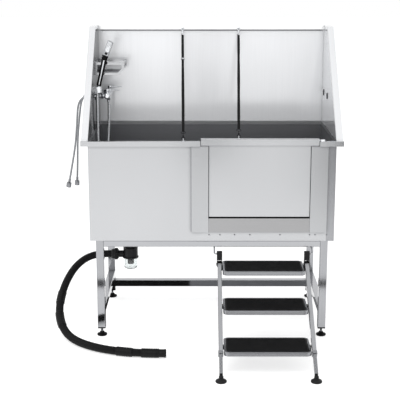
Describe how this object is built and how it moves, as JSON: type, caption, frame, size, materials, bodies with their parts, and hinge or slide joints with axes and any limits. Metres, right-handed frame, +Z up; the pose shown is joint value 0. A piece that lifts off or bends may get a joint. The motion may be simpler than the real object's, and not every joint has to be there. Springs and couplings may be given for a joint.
{
  "type": "pet bathtub with steps",
  "caption": "Raised stainless pet bathtub on a tube frame, with splash walls, lift-out door, hook-on steps, mixer, hand spray, tether straps and drain hose.",
  "frame": {"origin": "on the floor, in the middle of the footprint of the tub and its steps", "axes": "+X to the right seen from the front, +Y to the back, +Z up"},
  "size_m": [1.4334, 1.244, 1.515],
  "materials": {
    "brushed_stainless": "satin brushed",
    "grey_steel": "plain",
    "chrome": "bright polished",
    "black_plastic": "moulded satin",
    "black_rubber": "ribbed matte",
    "clear_plastic": "clear moulded",
    "braided_steel": "woven wire braid",
    "black_webbing": "flat woven"
  },
  "bodies": {
    "tub": {"basin_back_wall": "brushed_stainless", "basin_side_walls": "brushed_stainless", "bottom_rails": "brushed_stainless", "door_catch": "chrome", "door_frame": "brushed_stainless", "drain_flange": "brushed_stainless", "drain_hose": "black_rubber", "drain_hose_cuff": "black_rubber", "drain_union_nut": "black_plastic", "faucet_body": "chrome", "faucet_shanks": "chrome", "floor_pan": "brushed_stainless", "front_panel": "brushed_stainless", "front_rim": "brushed_stainless", "hole_plugs": "black_plastic", "leg_end_plugs": "black_plastic", "legs_back": "brushed_stainless", "legs_front": "brushed_stainless", "panel_screws": "grey_steel", "shampoo_shelf": "brushed_stainless", "shower_hose": "braided_steel", "splash_back": "brushed_stainless", "splash_left": "brushed_stainless", "splash_right": "brushed_stainless", "spray_holder": "chrome", "step_hook_rods": "brushed_stainless", "supply_hose_cold": "braided_steel", "supply_hose_hot": "braided_steel", "supply_hose_nuts": "chrome", "tether_fittings": "chrome", "tether_strap_left": "black_webbing", "tether_strap_right": "black_webbing", "top_rails": "brushed_stainless", "trap_body": "black_plastic"},
    "door": {"door_panel": "brushed_stainless", "door_cap": "brushed_stainless", "door_seal": "black_rubber", "tether_door_hook": "chrome"},
    "steps": {"step_stringers": "brushed_stainless", "step_tray_top": "brushed_stainless", "step_tray_middle": "brushed_stainless", "step_tray_bottom": "brushed_stainless", "step_mats": "black_rubber", "step_brackets": "black_plastic", "step_bolts": "grey_steel"},
    "step_leg_left": {"step_leg_left": "grey_steel", "step_pad_left": "black_plastic"},
    "step_leg_right": {"step_leg_right": "grey_steel", "step_pad_right": "black_plastic"},
    "strainer": {"strainer_basket": "brushed_stainless"},
    "trap_cup": {"trap_cup": "clear_plastic"},
    "lever_hot": {"faucet_lever_hot": "chrome"},
    "lever_cold": {"faucet_lever_cold": "chrome"},
    "spray": {"spray_handle": "chrome", "spray_head": "chrome"},
    "spray_button": {"spray_button": "black_plastic"},
    "foot_front_left": {"levelling_foot_front_left": "black_plastic"},
    "foot_front_right": {"levelling_foot_front_right": "black_plastic"},
    "foot_back_left": {"levelling_foot_back_left": "black_plastic"},
    "foot_back_right": {"levelling_foot_back_right": "black_plastic"}
  },
  "joints": [
    {"name": "door_slide", "type": "slide", "parent": "tub", "child": "door", "axis": [0, 0, 1], "range_m": [0, 0.35]},
    {"name": "strainer_lift", "type": "slide", "parent": "tub", "child": "strainer", "axis": [0, 0, 1], "range_m": [0, 0.08]},
    {"name": "trap_cup_turn", "type": "hinge", "parent": "tub", "child": "trap_cup", "pos_m": [-0.425, 0.282, 0.3], "axis": [0, 0, 1], "range_deg": [0, 90]},
    {"name": "lever_hot_turn", "type": "hinge", "parent": "tub", "child": "lever_hot", "pos_m": [-0.54, 0.385, 1.19], "axis": [0, 0, 1], "range_deg": [0, 80]},
    {"name": "lever_cold_turn", "type": "hinge", "parent": "tub", "child": "lever_cold", "pos_m": [-0.54, 0.535, 1.19], "axis": [0, 0, -1], "range_deg": [0, 80]},
    {"name": "spray_lift", "type": "slide", "parent": "tub", "child": "spray", "axis": [0.2317, 0, 0.9728], "range_m": [0, 0.12]},
    {"name": "spray_button_press", "type": "slide", "parent": "spray", "child": "spray_button", "axis": [-0.9728, 0, 0.2317], "range_m": [0, 0.003], "stiffness_N_per_m": 400, "springref_m": -0.002},
    {"name": "steps_swing", "type": "hinge", "parent": "tub", "child": "steps", "pos_m": [0.252, -0.068, 0.446], "axis": [-1, 0, 0], "range_deg": [0, 60]},
    {"name": "step_leg_left_slide", "type": "slide", "parent": "steps", "child": "step_leg_left", "axis": [0, -0.8204, -0.5718], "range_m": [0, 0.04]},
    {"name": "step_leg_right_slide", "type": "slide", "parent": "steps", "child": "step_leg_right", "axis": [0, -0.8204, -0.5718], "range_m": [0, 0.04]},
    {"name": "foot_front_left_screw", "type": "slide", "parent": "tub", "child": "foot_front_left", "axis": [0, 0, -1], "range_m": [0, 0.03]},
    {"name": "foot_front_right_screw", "type": "slide", "parent": "tub", "child": "foot_front_right", "axis": [0, 0, -1], "range_m": [0, 0.03]},
    {"name": "foot_back_left_screw", "type": "slide", "parent": "tub", "child": "foot_back_left", "axis": [0, 0, -1], "range_m": [0, 0.03]},
    {"name": "foot_back_right_screw", "type": "slide", "parent": "tub", "child": "foot_back_right", "axis": [0, 0, -1], "range_m": [0, 0.03]}
  ]
}
